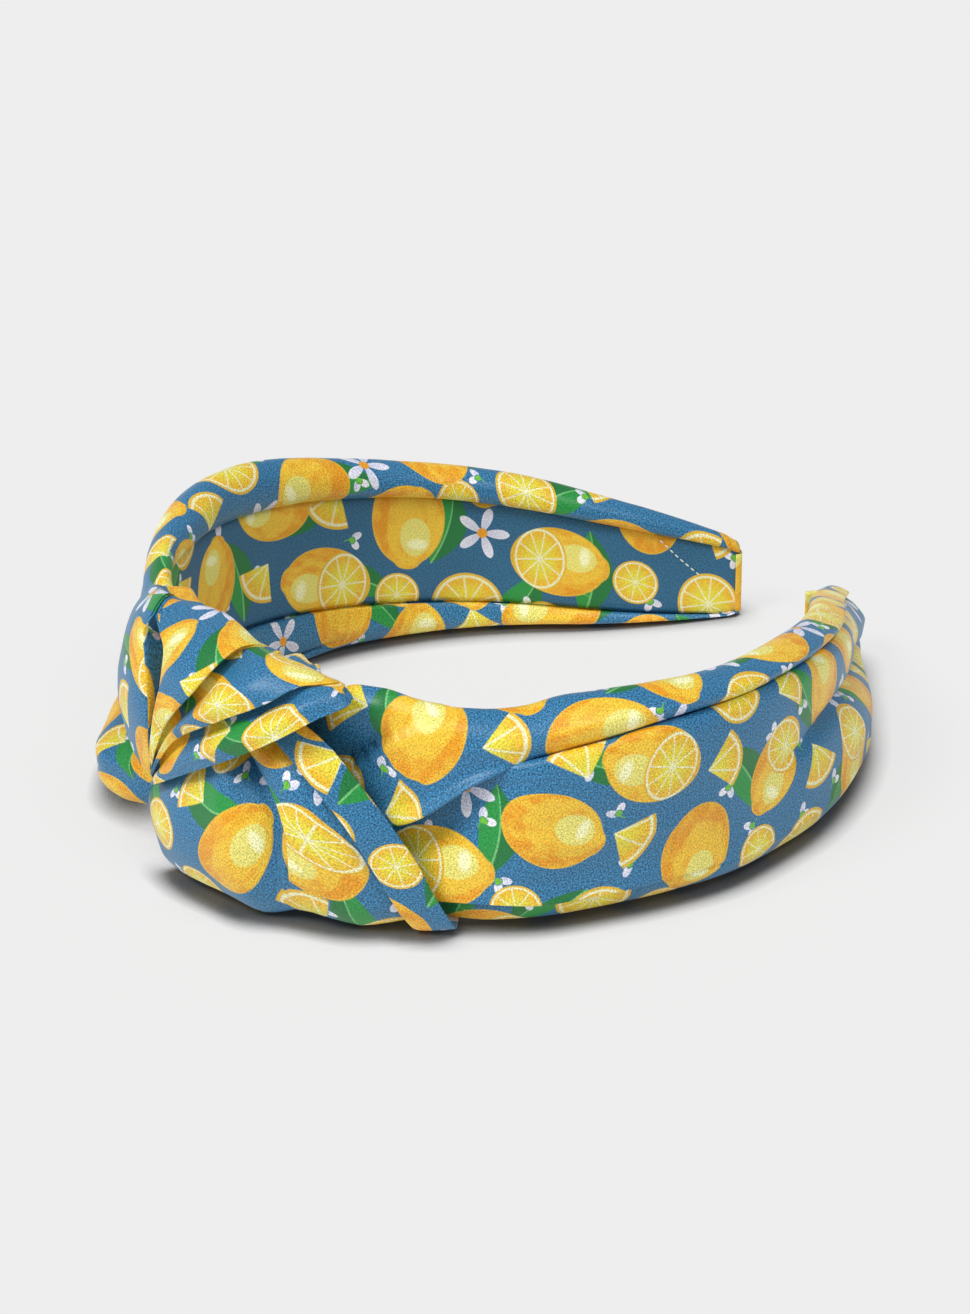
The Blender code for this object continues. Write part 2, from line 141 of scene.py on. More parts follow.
def ripple(grid, stretch, seed):  # smooth noise over a grid of hoop points
    flat = grid.reshape(-1, 3) / np.array(stretch)
    return np.array([noise.noise(Vector((*p[:2], p[2] + seed))) for p in flat]).reshape(grid.shape[:-1])


def unrolled(placed, middle):  # cloth coordinates in mm: along the middle row, and across from it
    along = np.linalg.norm(np.diff(placed[middle], axis=0), axis=1)
    u = np.concatenate([[0], np.cumsum(along)])
    across = np.linalg.norm(np.diff(placed, axis=0), axis=2)
    v = np.concatenate([np.zeros((1, placed.shape[1])), np.cumsum(across, 0)])
    v = v - v[middle]
    return np.stack([np.broadcast_to(u, v.shape), v], -1) / mm


def turned(uv, degrees, du, dv):
    c, s = math.cos(math.radians(degrees)), math.sin(math.radians(degrees))
    return np.stack([uv[..., 0] * c - uv[..., 1] * s + du, uv[..., 0] * s + uv[..., 1] * c + dv], -1)


clothScale = 100  # mm of cloth to 1 in its map


def clothPiece(name, grid, parts, material, thickness, outward=1):
    # grid: rows x columns of hoop points. parts: (first row, last row, middle row, print turn, print shift)
    placed = bend(grid)
    rows, columns = placed.shape[:2]
    order = np.arange(rows * columns).reshape(rows, columns)
    a, b, c, d = order[:-1, :-1], order[:-1, 1:], order[1:, 1:], order[1:, :-1]
    quads = np.stack([a, b, c, d] if outward > 0 else [a, d, c, b], -1)
    mesh = bpy.data.meshes.new(name)
    mesh.from_pydata(placed.reshape(-1, 3).tolist(), [], quads.reshape(-1, 4).tolist())
    layer = mesh.uv_layers.new(name="cloth")
    corners = np.zeros((rows - 1, columns - 1, 4, 2))
    for low, high, middle, degrees, du, dv in parts:
        uv = turned(unrolled(placed[low : high + 1], middle - low), degrees, du, dv)
        four = [uv[:-1, :-1], uv[:-1, 1:], uv[1:, 1:], uv[1:, :-1]]
        corners[low:high] = np.stack(four if outward > 0 else [four[0], four[3], four[2], four[1]], 2)
    layer.data.foreach_set("uv", (corners / clothScale).ravel())
    mesh.polygons.foreach_set("use_smooth", [True] * len(mesh.polygons))
    mesh.materials.append(material)
    piece = bpy.data.objects.new(name, mesh)
    scene.collection.objects.link(piece)
    wall = piece.modifiers.new("clothThickness", "SOLIDIFY")
    wall.thickness, wall.offset, wall.use_even_offset = thickness * mm, -1, False
    girth = np.linalg.norm(np.diff(placed, axis=0), axis=2).sum(0).mean()
    length = np.linalg.norm(np.diff(placed, axis=1), axis=2).sum(1).mean()
    return piece, (round(float(girth), 4), round(float(length), 4))


def tone(*seen):  # a colour as seen, in sRGB, turned to scene values
    shares = [x / 255 for x in seen]
    return tuple(x / 12.92 if x < 0.04045 else ((x + 0.055) / 1.055) ** 2.4 for x in shares) + (1,)


class Wire:  # a socket with arithmetic, so a pattern reads as a formula
    def __init__(self, tree, socket):
        self.tree, self.socket = tree, socket

    def node(self, kind, settings, inputs, out=0):
        made = self.tree.nodes.new(kind)
        for key, value in settings.items():
            setattr(made, key, value)
        for key, value in inputs.items():
            if isinstance(value, Wire):
                self.tree.links.new(value.socket, made.inputs[key])
            else:
                made.inputs[key].default_value = value
        return Wire(self.tree, made.outputs[out])

    def math(self, operation, *values, clamp=False):
        settings = {"operation": operation, "use_clamp": clamp}
        return self.node("ShaderNodeMath", settings, dict(enumerate(values)))

    def __add__(self, other): return self.math("ADD", self, other)
    def __radd__(self, other): return self.math("ADD", other, self)
    def __sub__(self, other): return self.math("SUBTRACT", self, other)
    def __rsub__(self, other): return self.math("SUBTRACT", other, self)
    def __mul__(self, other): return self.math("MULTIPLY", self, other)
    def __rmul__(self, other): return self.math("MULTIPLY", other, self)
    def __truediv__(self, other): return self.math("DIVIDE", self, other)
    def __neg__(self): return self.math("MULTIPLY", self, -1)
    def __gt__(self, other): return self.math("GREATER_THAN", self, other)
    def __lt__(self, other): return self.math("LESS_THAN", self, other)
    def __abs__(self): return self.math("ABSOLUTE", self)

    def least(self, other): return self.math("MINIMUM", self, other)
    def most(self, other): return self.math("MAXIMUM", self, other)
    def clamped(self): return self.math("ADD", self, 0, clamp=True)
    def floor(self): return self.math("FLOOR", self)
    def root(self): return self.math("SQRT", self)
    def power(self, other): return self.math("POWER", self, other)

    def mix(self, first, second):  # self is the factor
        return self.node("ShaderNodeMix", {"data_type": "RGBA"}, {0: self, 6: first, 7: second}, 2)

    def shade(self, colour):  # multiply a colour by this value
        grey = self.node("ShaderNodeCombineColor", {}, {0: self, 1: self, 2: self})
        settings = {"data_type": "RGBA", "blend_type": "MULTIPLY"}
        return self.node("ShaderNodeMix", settings, {0: 1.0, 6: colour, 7: grey}, 2)

    def point(self, y, z=0.0):
        return self.node("ShaderNodeCombineXYZ", {}, {0: self, 1: y, 2: z})

    def into(self, socket):
        self.tree.links.new(self.socket, socket)

    def split(self):
        parts = self.tree.nodes.new("ShaderNodeSeparateXYZ")
        self.tree.links.new(self.socket, parts.inputs[0])
        return [Wire(self.tree, out) for out in parts.outputs]


def newMaterial(name):
    material = bpy.data.materials.new(name)
    material.use_nodes = True
    tree = material.node_tree
    return material, tree.nodes["Principled BSDF"].inputs, Wire(tree, None)


def within(distance, soft=0.16):  # 1 inside a shape, from its distance in mm
    return distance.math("MULTIPLY_ADD", distance, -1 / soft, 0.5, clamp=True)


def oval(x, y, atX, atY, radiusX, radiusY):
    dx, dy = (x - atX) / radiusX, (y - atY) / radiusY
    return ((dx * dx + dy * dy).root() - 1) * min(radiusX, radiusY)


fruitPrint = {  # sizes in mm, colours in sRGB
    "pitch": 23.0,
    "turn": 31,  # of the rows of motifs, in degrees
    "ground": (tone(29, 82, 115), tone(62, 138, 187)),  # thread by thread
    "threads": 2.6,  # how strongly the weave parts the two
    "lemon": tone(240, 196, 56),
    "lemonShade": tone(230, 156, 26),
    "lemonPale": tone(232, 226, 122),
    "lemonGlint": tone(248, 248, 196),
    "rind": tone(228, 184, 46),
    "pith": tone(238, 237, 192),
    "flesh": tone(236, 172, 36),
    "fleshPale": tone(230, 218, 66),
    "leaf": tone(36, 146, 66),
    "leafDark": tone(24, 118, 58),
    "leafRib": tone(112, 190, 116),
    "petal": tone(234, 234, 246),
    "petalShade": tone(196, 200, 226),
    "calyx": tone(110, 190, 58),
}
leafMotif = {
    "cell": {"shift": (0.31, 0.18), "seed": 3.0, "stray": 5.0},
    "size": (0.85, 0.3),  # least, and what chance adds
    "halfWidth": 3.7,
    "halfLengthSquared": 84,
    "bow": 0.018,
    "rib": 0.16,
    "empty": 0.16,  # share of cells left bare
}
budMotif = {
    "cell": {"shift": (0.52, 0.07), "seed": 9.0, "stray": 4.0},
    "shrink": 1.45,
    "buds": ((1.1, 0, 1.9, 1.15), (-0.6, 2.2, 1.15, 1.7)),  # ovals: middle, then radii
    "cups": ((-0.7, 0.1, 0.95, 0.8), (-0.8, 0.75, 0.8, 0.7)),
    "empty": 0.42,
}
fillerMotif = {
    "cell": {"shift": (0.5, 0.5), "seed": 21.0, "stray": 3.0},
    "wedges": 0.46,  # share of cells below this
    "rounds": 0.88,  # share above this, and blossoms between
    "roundRadius": 4.9,
    "wedgeExtra": 3.7,
    "wedgeCorner": 3.3,
    "segments": 8,
    "petals": 5,
    "petalLength": 5.0,
    "eye": 1.1,
}
fruitMotif = {
    "cell": {"shift": (0, 0), "seed": 40.0, "stray": 1.6, "sway": 0.9},
    "size": (0.96, 0.12),
    "wholes": 0.58,
    "halves": 0.74,  # cut fruit above this, and large rounds between
    "body": (0, 0, 9.9, 7.5),
    "stem": (-9.6, 0, 1.1, 2.2),
    "ring": (0, 0, 7.3, 7.0),
    "lit": (-1.9, 1.5, 8.0, 5.9),
    "pale": (-3.9, 1.5, 4.0, 3.1),
    "glint": (-5.4, 2.0, 1.1, 2.0),
    "cutAt": 3.8,
    "cutExtra": (-1.7, 0.2),  # a cut's radii, beside the ring's
    "segments": 10,
}
cutShares = {"rind": 0.925, "flesh": 0.85, "core": 0.07, "wall": 0.022}  # of a cut's radius


def cellOf(x, y, look, pitch, shift, seed, stray, sway=0.0):
    # local coordinates of one motif in its turned square cell, with its own random numbers
    angle = math.radians(look["turn"])
    c, s = math.cos(angle) / pitch, math.sin(angle) / pitch
    gx, gy = x * c - y * s + shift[0], x * s + y * c + shift[1]
    ix, iy = gx.floor(), gy.floor()

    def draw(number):  # three random values for the cell
        cell = (ix + 0.5).point(iy + 0.5, number)
        return cell.node("ShaderNodeTexWhiteNoise", {"noise_dimensions": "3D"}, {0: cell}, 1).split()

    chance, more = draw(seed), draw(seed + 17.3)
    lx = (gx - ix - 0.5) * pitch + (chance[0] - 0.5) * stray
    ly = (gy - iy - 0.5) * pitch + (chance[1] - 0.5) * stray
    turn = chance[2] * math.tau
    if sway:  # long motifs keep near the cell's diagonals, where there is room
        quarter = (chance[2] * 4).floor()
        turn = (quarter + 0.5) * (math.tau / 4) + (chance[2] * 4 - quarter - 0.5) * sway
    cos, sin = turn.math("COSINE", turn), turn.math("SINE", turn)
    return lx * cos - ly * sin, lx * sin + ly * cos, more


def cutFace(fx, fy, count, spin, look):  # a cut citrus face on the unit disc
    radius = (fx * fx + fy * fy).root()
    turn = fy.math("ARCTAN2", fy, fx) * (count / math.tau) + spin
    part = turn - turn.floor()
    wall = part.least(1 - part) * radius * (math.tau / count)
    streak = (turn * 5).point(radius * 2.2)
    veins = streak.node("ShaderNodeTexNoise", {}, {"Vector": streak, "Scale": 2.2, "Detail": 1.5})
    warm = ((radius - 0.35) * 1.5 + (veins - 0.5) * 1.7).clamped()
    flesh = warm.mix(look["fleshPale"], look["flesh"])
    pulp = within(cutShares["wall"] - wall, 0.03) * within(radius - cutShares["flesh"], 0.04)
    pulp = pulp * within(cutShares["core"] - radius, 0.05)
    face = pulp.mix(look["pith"], flesh)
    return within(cutShares["rind"] - radius, 0.03).mix(face, look["rind"]), radius


def leafLayer(colour, x, y, look):  # single leaves, two tones with a pale rib
    lx, ly, more = cellOf(x, y, look, look["pitch"], **leafMotif["cell"])
    least, extra = leafMotif["size"]
    size = least + more[0] * extra
    lx, ly = lx / size, ly / size
    curve = ly + lx * lx * leafMotif["bow"]
    taper = 1 - lx * lx / leafMotif["halfLengthSquared"]
    blade = abs(curve) - leafMotif["halfWidth"] * taper + (lx > 0) * lx * 0.05
    halves = (curve > 0).mix(look["leaf"], look["leafDark"])
    ribbed = within(abs(curve) - leafMotif["rib"] + lx * 0.008).mix(halves, look["leafRib"])
    return (within(blade * 0.8) * (more[1] > leafMotif["empty"])).mix(colour, ribbed)


def budLayer(colour, x, y, look):  # buds in pairs, with a green cup and stalk
    bx, by, more = cellOf(x, y, look, look["pitch"] / 2, **budMotif["cell"])
    bx, by = bx * budMotif["shrink"], by * budMotif["shrink"]
    bud, cup = (
        oval(bx, by, *first).least(oval(bx, by, *second))
        for first, second in (budMotif["buds"], budMotif["cups"]))
    stalk = (abs(by - 0.25 * bx + 0.1) - 0.13).most(abs(bx + 1.9) - 1.2)
    here = more[1] > budMotif["empty"]
    colour = (within(stalk.least(cup)) * here).mix(colour, look["calyx"])
    petals = (by * 0.3 + 0.6).clamped().mix(look["petalShade"], look["petal"])
    return (within(bud) * within(0.2 - cup) * here).mix(colour, petals)


def fillerLayer(colour, x, y, look):  # wedges, small rounds and blossoms between the fruit
    mx, my, more = cellOf(x, y, look, look["pitch"], **fillerMotif["cell"])
    wedge, small = more[0] < fillerMotif["wedges"], more[0] > fillerMotif["rounds"]
    flower = (1 - wedge) * (1 - small)
    corner = fillerMotif["wedgeCorner"] * wedge
    scale = fillerMotif["roundRadius"] + fillerMotif["wedgeExtra"] * wedge
    fx, fy = (mx + corner) / scale, (my + corner) / scale
    face, radius = cutFace(fx, fy, fillerMotif["segments"], more[1], look)
    edge = (radius - 1).most((-fx).most(-fy) * wedge - (1 - wedge)) * 6
    colour = (within(edge) * (1 - flower)).mix(colour, face)
    spoke = my.math("ARCTAN2", my, mx) * (fillerMotif["petals"] / math.tau)
    spoke = abs(spoke - spoke.floor() - 0.5) * 2  # 0 along the middle of a petal, 1 between two
    reach = (mx * mx + my * my).root()
    petal = reach - fillerMotif["petalLength"] * (1 - spoke * spoke * 1.6) - 0.8 * (1 - spoke)
    white = (reach / 6 - 0.1 + spoke * 0.3).clamped().mix(look["petalShade"], look["petal"])
    colour = (within(petal * 0.7) * within(0.75 - reach) * flower).mix(colour, white)
    return (within(reach - fillerMotif["eye"]) * flower).mix(colour, look["lemonShade"])


def fruitLayer(colour, x, y, look):  # whole fruit, cut fruit and large rounds
    ax, ay, more = cellOf(x, y, look, look["pitch"], **fruitMotif["cell"])
    least, extra = fruitMotif["size"]
    size = least + more[2] * extra
    ax, ay = ax / size, ay / size
    body, stem, ring, lit, pale, glint = (
        oval(ax, ay, *fruitMotif[key]) for key in ("body", "stem", "ring", "lit", "pale", "glint"))
    whole, cut = more[0] < fruitMotif["wholes"], more[0] > fruitMotif["halves"]
    rounded = (1 - whole) * (1 - cut)
    body = body.math("SMOOTH_MIN", stem, body, 1.0)
    shape = body * (1 - rounded) + ring * rounded
    cloud = (ax * 0.24).point(ay * 0.5, more[1] * 30)
    clouds = cloud.node("ShaderNodeTexNoise", {}, {"Vector": cloud, "Scale": 1.0, "Detail": 2.0})
    warm = ((clouds - 0.5) * 3.4 + within(-lit, 0.5) * 0.75).clamped()
    skin = warm.mix(look["lemon"], look["lemonShade"])
    skin = (within(pale, 0.3) * 0.9).mix(skin, look["lemonPale"])
    skin = (within(glint, 0.6) * 0.9).mix(skin, look["lemonGlint"])
    skin = within(abs(shape + 0.1) - 0.14).mix(skin, look["rind"])
    (ringX, ringY), (extraX, extraY) = fruitMotif["ring"][2:], fruitMotif["cutExtra"]
    fx, fy = (ax - fruitMotif["cutAt"] * cut) / (ringX + extraX * cut), ay / (ringY + extraY * cut)
    face, radius = cutFace(fx, fy, fruitMotif["segments"], more[1], look)
    fruit = (within((radius - 1) * 6) * (1 - whole)).mix(skin, face)
    return within(shape).mix(colour, fruit)


def citrusPrint(uv, weave, look):
    x, y, _ = uv.split()
    x, y = x * clothScale, y * clothScale
    colour = ((weave - 0.5) * look["threads"] + 0.5).clamped().mix(*look["ground"])
    for layer in (leafLayer, budLayer, fillerLayer, fruitLayer):
        colour = layer(colour, x, y, look)
    return colour


weaveLook = {
    "fine": {"Scale": 290.0, "Detail": 2.0, "Roughness": 0.7},  # threads
    "broad": {"Scale": 9.0, "Detail": 2.0},  # slow change over the cloth
    "broadShade": 0.14,
    "lift": 1.02,
    "roughChange": 0.5,
    "bump": {"Strength": 0.35, "Distance": 0.00012},
    "shader": {"Specular IOR Level": 0.45, "Sheen Roughness": 0.45},
}


def clothMaterial(name, look, grain, rough, sheen):
    material, shader, start = newMaterial(name)
    uv = start.node("ShaderNodeUVMap", {"uv_map": "cloth"}, {})
    fine, broad = (
        uv.node("ShaderNodeTexNoise", {"noise_dimensions": "2D"}, {"Vector": uv, **weaveLook[key]})
        for key in ("fine", "broad"))
    speckle = (fine - 0.5) * grain + (broad - 0.5) * weaveLook["broadShade"] + weaveLook["lift"]
    speckle.shade(citrusPrint(uv, fine, look)).into(shader["Base Color"])
    ((fine - 0.5) * weaveLook["roughChange"] + rough).clamped().into(shader["Roughness"])
    uv.node("ShaderNodeBump", {}, {**weaveLook["bump"], "Height": fine}).into(shader["Normal"])
    for key, value in {**weaveLook["shader"], "Sheen Weight": sheen}.items():
        shader[key].default_value = value
    return material


liningPrint = dict(fruitPrint, ground=(tone(34, 86, 118), tone(48, 112, 152)))  # a smoother, duller weave
satin = clothMaterial("printedSatin", fruitPrint, grain=1.9, rough=0.4, sheen=0.04)
liningCloth = clothMaterial("printedLining", liningPrint, grain=0.9, rough=0.6, sheen=0.03)
print("stage: cloth materials")


# pleated covers of the legs. Tables run from the crown: (distance, value) in mm
nearLeg = {
    "start": 9,
    "top": (
        (0, 43.8), (19, 43.8), (25, 45.6), (30, 46), (35, 44.4), (39, 43.3), (46, 42.8), (54, 43.2),
        (65, 45), (77, 44.7), (95, 42.8), (121, 39.2), (150, 32), (176, 22.6), (195, 15.6),
    ),
    "crease": (
        (0, 19), (34, 22), (48, 32), (63, 37), (80, 39), (100, 38), (127, 33.8), (160, 25.4), (178, 18.8),
        (188, 15.4), (195, 13.4),
    ),
    "bulge": ((0, 6.6), (45, 7.2), (70, 8), (110, 7.6), (150, 6.8), (175, 5.8), (195, 4)),
    "panel": (
        (0, 8), (40, 8.2), (60, 9.6), (100, 9.6), (130, 9), (160, 8.6), (180, 8.8), (190, 8), (195, 7),
    ),
    "foldHeight": ((0, 16), (98, 19.5), (119, 22.5), (132, 21.5), (160, 14.5), (177, 9.4), (195, 6)),
    "foldDepth": ((0, 0), (94, 0), (118, 1.8), (145, 3.6), (172, 3.0), (195, 0.8)),
    "skirt": (
        (0, 8), (43, 8.2), (56, 9.2), (72, 8), (101, 9.4), (116, 11.6), (140, 12.8), (165, 11.6),
        (195, 6.4),
    ),
    "foot": ((0, 3), (48, 2.6), (69, 0.4), (101, 2), (120, 6), (140, 7.6), (165, 7), (195, 3.2)),
    "bottom": ((0, 3.8), (35, 3.8), (41, 1.2), (56, 0.5), (90, 0.3), (112, 0), (195, 0)),
    "inner": (  # how far rolls stand in past the lining
        (0, -0.4), (48, -0.4), (64, -2.5), (116, -2.4), (138, -1.2), (158, -0.4), (195, -0.4),
    ),
    "lapFrom": (44, 58),  # the upper pleat lies over the lower one up to here, and under it after
    "hemStep": (  # lower layer set back under a fold
        (0, 0), (30, 2.6), (62, 3.0), (80, 1.8), (96, 0), (195, 0),
    ),
    "secondRoll": ((0, 0), (195, 0)),
    "print": ((8, -59, 104), (-6, 37, 61)),
}
farLeg = {
    "start": 6,
    "top": (
        (0, 43.6), (34, 43.6), (46, 45.2), (62, 46.8), (77, 47.6), (86, 47), (113, 41.2), (154, 32),
        (178, 24), (195, 16.8),
    ),
    "crease": (
        (0, 24), (30, 27), (48, 34), (66, 38.6), (85, 39.8), (107, 36.4), (128, 31.8), (160, 23.6),
        (195, 10.4),
    ),
    "bulge": (
        (0, 6.4), (20, 6.2), (30, 5.6), (38, 4.8), (56, 5.6), (74, 7.2), (110, 7.6), (150, 6.8),
        (180, 5.6), (195, 4.4),
    ),
    "panel": (
        (0, 8), (16, 8), (30, 7.6), (50, 7.4), (72, 9), (100, 9.6), (130, 9), (160, 8), (180, 7.2),
        (195, 6.2),
    ),
    "foldHeight": ((0, 18), (60, 18), (100, 18), (130, 16), (160, 11), (195, 6)),
    "foldDepth": ((0, 0), (100, 0), (125, 1.4), (150, 2.4), (172, 2.0), (195, 0)),
    "skirt": (
        (0, 8.6), (17, 9), (23, 13), (30, 16.4), (40, 14), (54, 10.6), (70, 9.4), (130, 10.4), (165, 9.6),
        (195, 6),
    ),
    "foot": ((0, 3.4), (15, 5), (26, 12.6), (34, 12), (46, 7), (60, 4), (100, 2.8), (195, 2.6)),
    "bottom": ((0, 6.2), (14, 6.2), (22, 6), (29, 4.8), (36, 2.6), (46, 0.5), (60, 0), (195, 0)),
    "inner": ((0, -0.4), (48, -0.4), (64, -2.5), (150, -2.5), (195, -0.9)),
    "lapFrom": (20, 40),
    "hemStep": ((0, 0), (195, 0)),
    "secondRoll": (  # two layers show under the lining
        (0, 0), (60, 0), (72, 1), (98, 1), (114, 0), (195, 0),
    ),
    "print": ((171, 90, 20), (184, 12, 140)),
}
legCloth = {
    "thickness": 0.45,
    "stations": 190,
    "groove": (  # depth between two rolls
        (0, 1.6), (60, 1.8), (90, 2.6), (120, 3.4), (170, 3.6), (195, 2.6),
    ),
    "wrinkle": 0.36,
    "endGap": 0.4,  # from the cover's end to the hoop's
    "ridge": ((20, 28), (27, 33.1), (33.4, 39), (43.6, 43.8), (60, 50)),  # soft pleat out of the knot
    "ridgeSink": 3.0,
    "ridgeLip": 0.7,
    "ridgeFades": (27, 48),
    "hollow": 4.4,  # beside the knot, under the pleat above
    "hollowFades": (38, 56),
    "tuckFrom": 4.5,  # the end turns in at the tip
    "tuckIn": 0.38,
    "tuckDown": 0.08,
    "tuckSeat": 2.4,
}


def sections(columns):  # control points (n, z) for every station, as an array
    return np.stack([np.stack(np.broadcast_arrays(n, z), -1) for n, z in columns], 1)


def upperRoll(a, leg):
    top, bulge, crease = (steady(leg[key], a) for key in ("top", "bulge", "crease"))
    edge = stripMiddle(a) + stripWidth(a) / 2
    inner = steady(leg["inner"], a)
    under = ease(*leg["lapFrom"], a)  # 0 where this pleat lies on top
    groove = steady(legCloth["groove"], a) * under
    lipN = bulge + 2.1 * (1 - under) - groove
    lipZ = crease - 0.7 * under
    return sections((
        (1.2 + 0 * a, edge - 0.6),
        (0.5 + 0 * a, edge + 0.5),
        (0.15 * inner, edge - 0.1),
        (0.95 * inner, edge + 0.24 * (top - edge)),
        (0.72 * inner, edge + 0.7 * (top - edge)),
        (0.25 * bulge, top),
        (0.72 * bulge, top - np.minimum(0.17 * (top - crease), 2.4)),
        (bulge, top - 0.46 * (top - crease)),
        (bulge + 0.5 * (1 - under) - 0.22 * groove, crease + 0.16 * (top - crease)),
        (lipN + 0.3 * groove, lipZ + 0.5 + 0.3 * under),
        (lipN - 0.15, lipZ),
        (lipN - 0.7, lipZ - 0.1 - 0.4 * under),
        (lipN - 1.9, lipZ + 1.2 - 2.4 * under),
    ))


def lowerPanel(a, leg):
    keys = ("bulge", "crease", "panel", "foldHeight", "foldDepth", "skirt", "foot", "bottom")
    bulge, crease, panel, fold, depth, skirt, foot, bottom = (steady(leg[key], a) for key in keys)
    edge = stripMiddle(a) - stripWidth(a) / 2
    inner = steady(leg["inner"], a)
    over = ease(*leg["lapFrom"], a)
    groove = steady(legCloth["groove"], a) * over
    lipN = bulge - 2.0 + 2.7 * over - 0.5 * groove
    lipZ = crease + 1.4 - 1.3 * over
    tall = crease - fold
    shelf = np.minimum(panel, 0.5 * (panel + skirt))
    step, twin = steady(leg["hemStep"], a), steady(leg["secondRoll"], a)
    hemZ = bottom + 0.35 * (fold - bottom)
    rise = edge - bottom

    def layered(share, height, n, z):  # plain roll, or the one with a second layer
        plain = share * foot + (1 - share) * inner
        return plain + twin * (n - plain), bottom + (1 - twin) * height * rise + twin * z

    return sections((
        (lipN - 1.7 - 0.5 * groove, lipZ - 1.9 * over),
        (lipN - 1.0 - 0.3 * groove, lipZ - 0.5 * over),
        (lipN - 0.2, lipZ),
        (lipN + 0.5 + 0.2 * groove, lipZ - 0.55),
        (np.maximum(0.5 * (panel + lipN), lipN + 0.9 + 0.4 * groove), crease - 0.16 * tall),
        (panel, crease - 0.5 * tall),
        (shelf - 0.12 * depth, fold + 0.2 * tall),
        (shelf - 0.45 * depth, fold + 0.7 + 0.1 * depth),
        (shelf - 1.15 * depth, fold + 0.1 + 0.05 * depth),
        (shelf - 0.75 * depth, fold - 0.5 - 0.15 * depth),
        (0.5 * (shelf + skirt) - 0.3 * depth, fold - 0.9 - 0.1 * depth - 0.06 * (fold - bottom)),
        (skirt, bottom + 0.66 * (fold - bottom)),
        (skirt + 0.1 * step, hemZ + 0.8),
        (skirt + 0.05 * step, hemZ + 0.1),
        (skirt - 0.25 * step, hemZ - 0.35 + 0.15 * step),
        (skirt - 1.0 * step, hemZ - 0.8 + 0.5 * step),
        (skirt - 0.95 * step, hemZ - 1.4),
        (0.4 * foot + 0.6 * skirt - 0.55 * step, bottom + 0.08 * (fold - bottom)),
        (foot, bottom),
        layered(0.55, 0.06, -0.4, 0.2),
        layered(0.25, 0.2, -1.3, 1.5),
        layered(0.08, 0.34, -0.3, 2.5),
        layered(0.02, 0.44, -1.6, 2.9),
        (inner, bottom + 0.55 * rise),
        (0.8 * inner, bottom + 0.8 * rise),
        (0.5 * inner, edge - 0.1),
        (0.5 + 0 * a, edge - 0.5),
        (1.2 + 0 * a, edge + 0.6),
    ))


def legCover(name, side, leg, shape, samples, printed, seed):
    end = hoop["half"] - legCloth["endGap"]
    a = np.linspace(leg["start"], end, legCloth["stations"])
    curve = curveThrough(shape(a, leg), samples)  # stations x points x (n, z)
    grid = np.concatenate([np.broadcast_to(side * a[:, None, None], curve.shape[:2] + (1,)), curve], -1)
    grid = grid.transpose(1, 0, 2).copy()
    rows = len(grid)
    if shape is upperRoll and side > 0:
        line = np.interp(a, *np.array(legCloth["ridge"]).T)
        above = grid[..., 2] - line
        sink = legCloth["ridgeSink"] * ease(-0.8, 0.7, above) * np.exp(-np.maximum(above, 0) / 3.2)
        lip = legCloth["ridgeLip"] * np.exp(-((above + 1.2) / 1.1) ** 2)
        grid[..., 1] += (lip - sink) * (1 - ease(*legCloth["ridgeFades"], a))
    if shape is lowerPanel and side > 0:
        deep = np.exp(-((grid[..., 2] - steady(leg["crease"], a) + 6) / 6.5) ** 2)
        grid[..., 1] -= legCloth["hollow"] * deep * (1 - ease(*legCloth["hollowFades"], a))
    tuck = ease(hoop["half"] - legCloth["tuckFrom"], end, a) ** 2
    grid[..., 1] -= legCloth["tuckIn"] * tuck * np.maximum(grid[..., 1] - legCloth["tuckSeat"], 0)
    grid[..., 2] -= legCloth["tuckDown"] * tuck * (grid[..., 2] - hoop["tipMiddle"])
    fade = np.sin(np.linspace(0, math.pi, rows))[:, None] ** 0.5
    pull = legCloth["wrinkle"] * fade * (0.45 + 0.9 * np.exp(-((a - 30) / 38) ** 2))[None, :]
    soft = ripple(grid, (17, 5, 6), seed) + 0.5 * ripple(grid, (7, 3, 3), seed + 9)
    normal = np.gradient(grid[..., 1:], axis=0)
    normal = np.stack([normal[..., 1], -normal[..., 0]], -1)
    normal /= np.linalg.norm(normal, axis=-1, keepdims=True) + 1e-9
    grid[..., 1:] += normal * (soft * pull)[..., None]
    return clothPiece(name, grid, [(0, rows - 1, rows // 2, *printed)], satin, legCloth["thickness"], -side)


covers = {}
for legName, side, leg, seed in (("near", 1, nearLeg, 2.0), ("far", -1, farLeg, 31.0)):
    upper, lower = legName + "UpperFold", legName + "LowerFold"
    covers[upper] = legCover(upper, side, leg, upperRoll, 6, leg["print"][0], seed)
    covers[lower] = legCover(lower, side, leg, lowerPanel, 5, leg["print"][1], seed + 50)
print("stage: leg covers", {name: flat for name, (piece, flat) in covers.items()})


